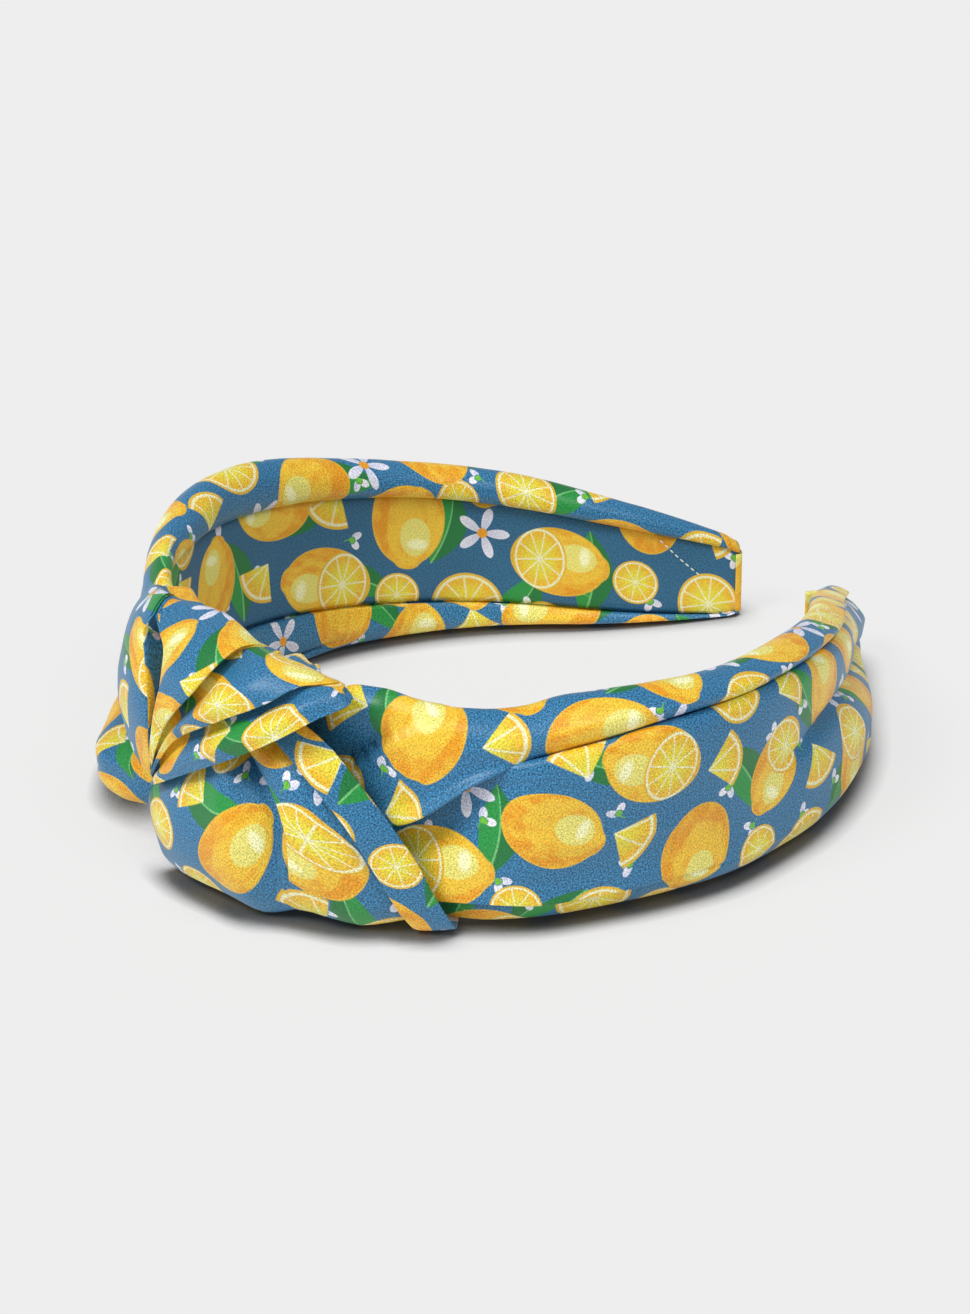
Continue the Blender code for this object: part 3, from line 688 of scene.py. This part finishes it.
# wraps of the knot. Each line runs from the gather, over the front, to the edge it turns in over
knotCloth = {
    "thickness": 0.5,
    "centreN": 2.0,
    "along": 14,
    "across": 4,
    "lap": 2.4,  # how far a pleat runs on under the next one
    "valley": 8.5,  # depth of the fold left of the puff
    "dart": 4.6,  # depth of the hollow beside the dart
    "wrinkle": 0.28,
}
upperLines = {
    "strip1": (
        (-11, 13, 17.6), (-9.3, 16.5, 18.5), (2.8, 19, 27.7), (12.5, 20, 35.2), (19.6, 19.5, 41.4),
        (24.2, 17, 45.4), (28, 12, 47.6),
    ),
    "strip2": (
        (-10.6, 13.2, 18.6), (-9, 16.6, 20.4), (-1.1, 18.5, 32.2), (9.4, 20, 41.2), (17.1, 18.5, 47.2),
        (20.9, 15, 50.4), (24.6, 10, 50.3),
    ),
    "puff": (
        (-10.4, 13.4, 19.4), (-8.8, 16.8, 21.5), (-2.8, 19, 34.5), (4.5, 19.5, 45.2), (7.5, 17, 51),
        (8.6, 12, 53.2), (8.7, 7, 51.9),
    ),
    "puffMiddle": (
        (-10.3, 13.4, 20), (-8.7, 16.9, 22.5), (-4.8, 19.5, 37), (-2, 18.5, 46.5), (-2, 14.5, 52),
        (-2.5, 9, 53.6), (-3, 4, 53),
    ),
    "puffEdge": (
        (-10.2, 13.2, 20.6), (-8.6, 16.8, 23.4), (-5.4, 18.2, 36.6), (-4.8, 17.6, 43.4),
        (-6.2, 15.6, 48.6), (-11.8, 12.4, 50.9), (-15.5, 7, 51.8),
    ),
    "foldEdge": (
        (-10.6, 13, 20.6), (-9.4, 16.5, 24), (-9.6, 16.6, 35.2), (-12.2, 15, 43), (-14.2, 13.6, 47.4),
        (-13.6, 11.8, 50.4), (-17, 6.4, 51.4),
    ),
    "foldMiddle": (
        (-11.4, 13, 19.4), (-10.4, 16, 22.8), (-13, 17.2, 33), (-17, 15.6, 40), (-21.5, 12.4, 44.4),
        (-24, 9, 47.4), (-25.5, 5, 49),
    ),
    "foldOuter": (
        (-12, 12.6, 17.6), (-11.8, 15, 18.8), (-19, 15, 24), (-24, 14, 31), (-26.5, 12, 38),
        (-29, 8.6, 43.8), (-30, 4.6, 47),
    ),
}
lowerLines = {
    "left": (
        (-3, 11, 24), (-7.5, 12.6, 21.5), (-13, 12.4, 16.4), (-15.3, 13, 12), (-12.4, 14, 7.6),
        (-9.3, 13.5, 2.0), (-7.5, 9, 0.7),
    ),
    "leftBulge": (
        (0, 12.4, 29), (-3, 13.8, 26.5), (-5, 16.6, 19), (-5.4, 18, 13), (-4, 17.4, 7), (-3, 14.4, 1.9),
        (-3, 9, 0.7),
    ),
    "puff": (
        (3, 13.4, 34), (4, 14.4, 31.5), (5, 18.2, 23.5), (6, 20, 15.5), (6.4, 18.6, 7.6), (7, 14, 1.9),
        (7, 9, 0.7),
    ),
    "dart": (
        (6.6, 13.2, 38), (10.2, 14, 35), (15.4, 16, 29.7), (19, 17.6, 22.5), (19.6, 16.4, 11),
        (20, 12, 2.9), (20, 8, 0.8),
    ),
    "strapLeft": (
        (10, 13, 41), (15.4, 14.2, 38.4), (21.6, 16.2, 33.5), (27.6, 15.9, 25), (31.8, 14, 15),
        (35.4, 11.8, 5.6), (36.8, 8, 0.8),
    ),
    "strapRight": (
        (15, 12.2, 43.6), (20.4, 12.8, 41.6), (25.7, 13, 37.1), (32.4, 12.6, 27), (37.8, 11.8, 17),
        (41.5, 11, 7.3), (43.6, 8.4, 1.6),
    ),
}
upperTurn = ((0.66, 2.4, 46.6), (0.52, -2.6, 45.4), (0.5, -3, 43.2))  # share of s kept on the near side, n, z
lowerTurn = ((1, 1.2, 0.9), (1, -2.3, 5.2), (1, -0.4, 16.2))


def knotLines(lines, turn):
    made = {}
    for key, line in lines.items():
        last = line[-1][0]
        full = [*line, *((last * share if last > 0 else last, n, z) for share, n, z in turn)]
        made[key] = curveThrough(np.array(full, float), knotCloth["along"])
    return made


def outOf(line):  # direction away from the strip inside the knot
    half = hoop["crownWidth"] / 2
    inside = np.clip(line[:, 2], hoop["crownMiddle"] - half, hoop["crownMiddle"] + half)
    away = np.stack([0 * inside, line[:, 1] - knotCloth["centreN"], line[:, 2] - inside], -1)
    return away / (np.linalg.norm(away, axis=1, keepdims=True) + 1e-9)


def moved(line, target, across, out):  # a line shifted towards another one, and out from the strip
    gap = target - line
    far = np.linalg.norm(gap, axis=1, keepdims=True)
    room = np.minimum(1, far / 4.5)
    return line + gap / (far + 1e-9) * across * room + outOf(line) * out * room


def pleatEdge(line, target, amount, step=1.7):
    # rows that run under the next pleat and come back to its folded edge: across, out, and across where flat
    w = amount[:, None]
    lap = knotCloth["lap"]
    run = (
        (-0.7, -step, -1.9),
        (lap, -step - 0.9, -1.5),
        (lap + 0.3, -step - 0.4, -1.1),
        (0.6, -1.0, -0.7),
        (0.05, -0.45, -0.3),
        (0, 0, 0),
        (0.5, 0.25, 0.5),
    )
    return [moved(line, target, w * across + (1 - w) * flat, w * out) for across, out, flat in run]


def swell(first, second, share, out):
    row = first * (1 - share) + second * share
    gap = np.linalg.norm(second - first, axis=1, keepdims=True)
    return row + outOf(row) * out * np.minimum(1, gap / 7)


def hem(line, target):  # folded edge, from inside to the face
    return [
        moved(line, target, 3.2, -1.5),
        moved(line, target, 0.7, -0.75),
        moved(line, target, 0.08, -0.35),
        line,
        moved(line, target, 0.45, 0.14),
    ]


def knotWrap(name, rows, parts, seed):
    step = knotCloth["across"]
    grid = curveThrough(np.stack(rows, 1), step).transpose(1, 0, 2).copy()
    columns = grid.shape[1]
    fade = np.sin(np.linspace(0.03, 1, columns) * math.pi) ** 0.5
    soft = ripple(grid, (8, 9, 8), seed) + 0.5 * ripple(grid, (3.6, 4, 4), seed + 5)
    away = np.stack([outOf(row) for row in grid])
    grid = grid + away * (soft * fade * knotCloth["wrinkle"])[..., None]
    spans = [(low * step, high * step, middle * step, *printed) for low, high, middle, printed in parts]
    return clothPiece(name, grid, spans, satin, knotCloth["thickness"])


top = knotLines(upperLines, upperTurn)
reach = np.linspace(0, 1, len(top["puffEdge"]))
overRidge = 1 - 0.8 * ease(0.46, 0.62, reach)  # pleats flatten where they turn in over the edge
valleyDepth = knotCloth["valley"] * ease(0.04, 0.2, reach) * (1 - 0.94 * ease(0.42, 0.56, reach))


def valleyWall(line, across, share):  # a line let down into the deep fold beside the puff
    row = line + outOf(line) * (-valleyDepth * share)[:, None]
    row[:, 0] += across
    return row


upperRows = [
    *hem(top["strip1"], top["strip2"]),
    swell(top["strip1"], top["strip2"], 0.42, 0.9),
    *pleatEdge(top["strip2"], top["puff"], overRidge, 2.8),
    swell(top["strip2"], top["puff"], 0.42, 1.1),
    *pleatEdge(top["puff"], top["puffMiddle"], overRidge, 2.8),
    top["puffMiddle"],
    moved(top["puffEdge"], top["puffMiddle"], 1.0, 0.1),
    top["puffEdge"],
    valleyWall(top["puffEdge"], 0.3, 0.3),
    valleyWall(top["puffEdge"], 0.5, 0.8),
    valleyWall(0.5 * (top["puffEdge"] + top["foldEdge"]), 0, 1.0),
    valleyWall(top["foldEdge"], -0.4, 0.8),
    valleyWall(top["foldEdge"], -0.2, 0.3),
    top["foldEdge"],
    moved(top["foldEdge"], top["foldMiddle"], 0.8, 0.3),
    top["foldMiddle"],
    *hem(top["foldOuter"], top["foldMiddle"])[::-1],
]
upperParts = [  # first, last and middle row, then the print's turn and shift
    (0, 7, 4, (35, 20, 5)),
    (7, 15, 11, (62, 71, 33)),
    (15, 23, 20, (20, 118, 60)),
    (23, 29, 26, (30, 96, 171)),
    (29, len(upperRows) - 1, 31, (80, 160, 20)),
]
upperWrap = knotWrap("knotUpperWrap", upperRows, upperParts, 4.0)

low = knotLines(lowerLines, lowerTurn)
reach = np.linspace(0, 1, len(low["dart"]))
dartLap = 1 - ease(0.27, 0.52, reach)
dartHollow = 1 - ease(0.31, 0.56, reach)
strapLap = 1 - 0.9 * ease(0.66, 0.8, reach)
lowerRows = [
    *hem(low["left"], low["leftBulge"]),
    low["leftBulge"],
    low["puff"],
    swell(low["puff"], low["dart"], 0.45, 1.5),
    moved(low["dart"], low["puff"], 2.8, -knotCloth["dart"] * dartHollow[:, None]),
    *pleatEdge(low["dart"], low["strapLeft"], dartLap),
    swell(low["dart"], low["strapLeft"], 0.5, 0.6),
    *pleatEdge(low["strapLeft"], low["strapRight"], strapLap),
    swell(low["strapLeft"], low["strapRight"], 0.5, 0.4),
    *hem(low["strapRight"], low["strapLeft"])[::-1],
]
lowerParts = [
    (0, 18, 6, (-28, 40, 88)),
    (18, len(lowerRows) - 1, 23, (-35, 15, 15)),
]
lowerWrap = knotWrap("knotLowerWrap", lowerRows, lowerParts, 13.0)
print("stage: knot wraps", upperWrap[1], lowerWrap[1])


# crossing inside the knot: a bundle of gathered cloth between the two legs
heart = {
    "first": -5.7,
    "last": 8.7,
    "seat": 3.3,
    "depth": 7.0,
    "pleats": 7,
    "pleatDepth": 0.06,
    "thickness": 0.5,
    "along": 40,
    "around": 60,
    "print": (12, 5, 5),
}
share = np.linspace(0, 1, heart["along"])
around = np.linspace(0, math.pi, heart["around"])
fat = 0.62 + 0.38 * np.sin(math.pi * share)
gather = 1 + heart["pleatDepth"] * np.cos(heart["pleats"] * 2 * around[:, None] + 3 * share[None, :])
heartS = np.broadcast_to(heart["first"] + (heart["last"] - heart["first"]) * share, gather.shape)
heartN = heart["seat"] + heart["depth"] * fat * np.sin(around)[:, None] * gather * 0.94
heartHalf = 0.5 * hoop["crownWidth"] * (0.8 + 0.2 * fat)
heartZ = stripMiddle(heartS) - heartHalf * np.cos(around)[:, None] * 0.97
heartPart = (0, heart["around"] - 1, heart["around"] // 2, *heart["print"])
heartPiece, heartFlat = clothPiece(
    "knotHeart", np.stack([heartS, heartN, heartZ], -1), [heartPart], satin, heart["thickness"])
print("stage: knot heart", heartFlat)


# lining of the hoop, between the rolled edges
lining = {
    "thickness": 0.42,
    "stations": 320,
    "across": 26,
    "edgeGap": 0.1,
    "seat": 0.12,
    "puff": 0.12,
    "rolledEdge": 0.35,
    "print": (3, 43.7, 69),
}
liningS = np.linspace(-hoop["half"], hoop["half"], lining["stations"])
widths = np.linspace(-0.5, 0.5, lining["across"])
liningZ = stripMiddle(liningS) + widths[:, None] * (stripWidth(liningS) - lining["edgeGap"])
liningGrid = np.stack([np.broadcast_to(liningS, liningZ.shape), 0 * liningZ, liningZ], -1).copy()
toEdge = np.abs(2 * widths[:, None])
puff = ripple(liningGrid, (9, 3, 7), 71.0) * lining["puff"] * (1 - toEdge ** 6)
liningGrid[..., 1] += lining["seat"] + puff + lining["rolledEdge"] * toEdge ** 8
liningPart = (0, lining["across"] - 1, lining["across"] // 2, *lining["print"])
liningPiece, liningFlat = clothPiece("liningStrip", liningGrid, [liningPart], liningCloth, lining["thickness"])
print("stage: lining", liningFlat)


# cloth tabs folded round the tips
tabs = {
    "thickness": 0.45,
    "across": 14,
    "inset": 1.4,  # narrower than the tip
    "past": 0.5,  # beyond the hoop's end
    "near": (2.2, 4.4),  # inner leaf's length, and how far it stands off the lining
    "far": (1.4, 0.0),
    "print": (0, 12, 104),
}


def tipTab(name, side, leaf, lift):
    end = hoop["half"] + tabs["past"]
    path = curveThrough(np.array([
        (end - 7, 3.05), (end - 0.4, 3.0), (end, 2.0), (end, 0.4), (end - 0.4, -0.55),
        (end - 0.5 * leaf - 0.2, -0.75 - 0.5 * lift), (end - leaf - 0.2, -0.8 - lift)]), 8)
    rows = tabs["across"]
    z = hoop["tipMiddle"] + np.linspace(-0.5, 0.5, rows)[:, None] * (hoop["tipWidth"] - tabs["inset"])
    grid = np.stack(np.broadcast_arrays(side * path[:, 0], path[:, 1], z), -1)
    part = (0, rows - 1, rows // 2, *tabs["print"])
    return clothPiece(name, grid, [part], liningCloth, tabs["thickness"], side)


nearTab = tipTab("nearTipTab", 1, *tabs["near"])
farTab = tipTab("farTipTab", -1, *tabs["far"])
print("stage: tip tabs")


# hand stitches that hold the lining at the far tip
stitching = {
    "count": 8,
    "long": 1.05,
    "thick": 0.32,
    "face": -0.36,  # n of the lining's inner face
    "path": ((-177.9, 18.4), (-181.5, 14.5), (-185.7, 10.4)),  # s and z
    "points": 9,
    "tones": (tone(206, 222, 208), tone(244, 246, 238)),
}


def stitchTree(material):
    tree = bpy.data.node_groups.new("stitchRow", "GeometryNodeTree")
    tree.interface.new_socket("Geometry", in_out="INPUT", socket_type="NodeSocketGeometry")
    for label, kind in (("Count", "Int"), ("Long", "Float"), ("Thick", "Float")):
        tree.interface.new_socket(label, in_out="INPUT", socket_type="NodeSocket" + kind)
    tree.interface.new_socket("Geometry", in_out="OUTPUT", socket_type="NodeSocketGeometry")
    nodes = tree.nodes
    given, done = nodes.new("NodeGroupInput"), nodes.new("NodeGroupOutput")
    spread = nodes.new("GeometryNodeCurveToPoints")
    thread = nodes.new("GeometryNodeMeshUVSphere")
    thread.inputs["Segments"].default_value, thread.inputs["Rings"].default_value = 8, 6
    thread.inputs["Radius"].default_value = 0.5
    size = nodes.new("ShaderNodeCombineXYZ")
    placed = nodes.new("GeometryNodeInstanceOnPoints")
    real = nodes.new("GeometryNodeRealizeInstances")
    paint = nodes.new("GeometryNodeSetMaterial")
    paint.inputs["Material"].default_value = material
    for source, made, target, taken in (
        (given, "Geometry", spread, "Curve"),
        (given, "Count", spread, "Count"),
        (given, "Thick", size, "X"),
        (given, "Thick", size, "Y"),
        (given, "Long", size, "Z"),
        (spread, "Points", placed, "Points"),
        (spread, "Rotation", placed, "Rotation"),
        (thread, "Mesh", placed, "Instance"),
        (size, "Vector", placed, "Scale"),
        (placed, "Instances", real, "Geometry"),
        (real, "Geometry", paint, "Geometry"),
        (paint, "Geometry", done, "Geometry"),
    ):
        tree.links.new(source.outputs[made], target.inputs[taken])
    return tree


def stitchRow(name, points):
    thread, shader, start = newMaterial("stitchThread")
    place = start.node("ShaderNodeTexCoord", {}, {}, 3)
    twist = place.node("ShaderNodeTexNoise", {}, {"Vector": place, "Scale": 2600.0, "Detail": 2.0})
    twist.mix(*stitching["tones"]).into(shader["Base Color"])
    shader["Roughness"].default_value = 0.6
    curve = bpy.data.curves.new(name + "Path", "CURVE")
    curve.dimensions = "3D"
    spline = curve.splines.new("POLY")
    spline.points.add(len(points) - 1)
    for knot, point in zip(spline.points, points):
        knot.co = (*point, 1)
    source = bpy.data.objects.new(name + "Path", curve)
    scene.collection.objects.link(source)
    tree = stitchTree(thread)
    row = source.modifiers.new("row", "NODES")
    row.node_group = tree
    values = {"Count": stitching["count"], "Long": stitching["long"] * mm, "Thick": stitching["thick"] * mm}
    for item in tree.interface.items_tree:
        if item.in_out == "INPUT" and item.name in values:
            row[item.identifier] = values[item.name]
    bpy.context.view_layer.update()
    mesh = bpy.data.meshes.new_from_object(source.evaluated_get(bpy.context.evaluated_depsgraph_get()))
    bpy.data.objects.remove(source)
    made = bpy.data.objects.new(name, mesh)
    scene.collection.objects.link(made)
    return made


along = np.linspace(0, 1, stitching["points"])
stitchS, stitchZ = (np.interp(along, (0, 0.5, 1), row) for row in zip(*stitching["path"]))
stitchLine = np.stack([stitchS, np.full_like(along, stitching["face"]), stitchZ], -1)
stitches = stitchRow("liningStitches", bend(stitchLine).tolist())
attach(stitches, "root")
print("stage: stitches", len(stitches.data.polygons))


# moulded strip: the solid stays, with a satin plastic of fine mould grain
plasticLook = {"tones": (tone(206, 206, 202), tone(222, 222, 219)), "grain": 900.0, "flow": 35.0}


def mouldedPlastic():
    material, shader, start = newMaterial("hoopPlastic")
    place = start.node("ShaderNodeTexCoord", {}, {}, 3)
    grain, flow = (
        place.node("ShaderNodeTexNoise", {}, {"Vector": place, "Scale": plasticLook[key], "Detail": detail})
        for key, detail in (("grain", 3.0), ("flow", 2.0)))
    flow.mix(*plasticLook["tones"]).into(shader["Base Color"])
    (grain * 0.25 + 0.34).into(shader["Roughness"])
    bump = place.node("ShaderNodeBump", {}, {"Strength": 0.2, "Distance": 0.0001, "Height": grain})
    bump.into(shader["Normal"])
    return material


plastic = mouldedPlastic()
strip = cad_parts["hoop_core"]
for slot in strip.material_slots:
    slot.material = plastic


# each piece joins the root body and hides the part that it stands for
def declare(piece, flat, node, slot, held, restsOn):
    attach(piece, "root")
    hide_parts(node)


for name, node in (("nearUpperFold", "near_upper_fold"), ("nearLowerFold", "near_lower_fold"),
                   ("farUpperFold", "far_upper_fold"), ("farLowerFold", "far_lower_fold")):
    declare(*covers[name], node, "printed_satin", "folded", ["hoop_core"])
declare(*upperWrap, "knot_upper_wrap", "printed_satin", "gathered", ["knotHeart", "hoop_core"])
declare(*lowerWrap, "knot_lower_wrap", "printed_satin", "gathered", ["knotHeart", "hoop_core"])
declare(heartPiece, heartFlat, "knot_core", "printed_satin", "gathered", ["hoop_core"])
declare(liningPiece, liningFlat, "lining_strip", "printed_lining", "stretched", ["hoop_core"])
declare(*nearTab, "near_tip_tab", "printed_lining", "folded", ["hoop_core"])
declare(*farTab, "far_tip_tab", "printed_lining", "folded", ["hoop_core"])


# floor, light and camera
studio = {
    "floor": tone(237, 237, 237),
    "floorSize": 4,
    "floorDrop": 0.2,  # mm
    "shadow": tone(22, 22, 22),
    "contact": (0.006, 0.55, 2.22),  # reach in metres, then where the openness starts and its gain
    "pocket": (0.02, 0.12, 2.4),
    "contactPower": 0.55,
    "lean": (0.12, -0.115, 0.986),  # towards the side with the palest shadow
    "ownTone": 0.88,  # share of the seen floor that keeps its tone unlit, with the shadow close
    "sky": 0.34,
    "lamps": (("leftKey", 2.0, (-0.84, 0.12, 1.0), 20), ("frontKey", 0.92, (-0.12, -0.66, 1.0), 20)),
    "camera": (-532.0, -611.9, 436.4),  # hoop plan, mm
    "target": (93.4, 34.9, 0.0),
    "lens": 133.4,
    "sensor": 36,
}


def floorPaper():
    paper, shader, start = newMaterial("floorPaper")
    shader["Base Color"].default_value = studio["floor"]
    shader["Roughness"].default_value = 0.9
    shader["Specular IOR Level"].default_value = 0.1
    lean = start.node("ShaderNodeCombineXYZ", {}, dict(enumerate(studio["lean"])))

    def openness(reach, least, gain, **inputs):
        value = start.node("ShaderNodeAmbientOcclusion", {"samples": 8}, {"Distance": reach, **inputs}, 1)
        return ((value - least) * gain).clamped()

    # painted contact shadow: ambient occlusion darkens the floor's emission colour towards the shadow tone
    clear = openness(*studio["contact"], Normal=lean).power(studio["contactPower"])
    shade = (clear * openness(*studio["pocket"])).mix(studio["shadow"], studio["floor"])
    glow = start.node("ShaderNodeEmission", {}, {"Color": shade})
    seen = start.node("ShaderNodeLightPath", {}, {}, 0) * studio["ownTone"]
    nodes = paper.node_tree.nodes
    plain = Wire(paper.node_tree, nodes["Principled BSDF"].outputs[0])
    blend = start.node("ShaderNodeMixShader", {}, {0: seen, 1: plain, 2: glow})
    blend.into(nodes["Material Output"].inputs["Surface"])
    return paper


half, drop = studio["floorSize"], -studio["floorDrop"] * mm
floorMesh = bpy.data.meshes.new("floor")
floorMesh.from_pydata(
    [(-half, -half, drop), (half, -half, drop), (half, half, drop), (-half, half, drop)], [], [(0, 1, 2, 3)])
floorMesh.materials.append(floorPaper())
floor = bpy.data.objects.new("floor", floorMesh)
scene.collection.objects.link(floor)

world = bpy.data.worlds.new("softRoom")
scene.world = world
world.use_nodes = True
sky = world.node_tree.nodes["Background"]
sky.inputs["Color"].default_value = (1, 1, 1, 1)
sky.inputs["Strength"].default_value = studio["sky"]

for lampName, power, comesFrom, spread in studio["lamps"]:
    lampData = bpy.data.lights.new(lampName, "SUN")
    lampData.energy = power
    lampData.angle = math.radians(spread)
    lamp = bpy.data.objects.new(lampName, lampData)
    lamp.rotation_euler = Vector(comesFrom).to_track_quat("Z", "Y").to_euler()
    scene.collection.objects.link(lamp)

planShift = Vector((shiftX, shiftY, 0))
eye, target = ((Vector(studio[key]) - planShift) * mm for key in ("camera", "target"))
cameraData = bpy.data.cameras.new("photoCamera")
cameraData.lens = studio["lens"]
cameraData.sensor_width = studio["sensor"]
cameraData.sensor_fit = "AUTO"
camera = bpy.data.objects.new("photoCamera", cameraData)
camera.location = eye
camera.rotation_euler = (eye - target).to_track_quat("Z", "Y").to_euler()
scene.collection.objects.link(camera)
scene.camera = camera
scene.view_settings.view_transform = "Standard"
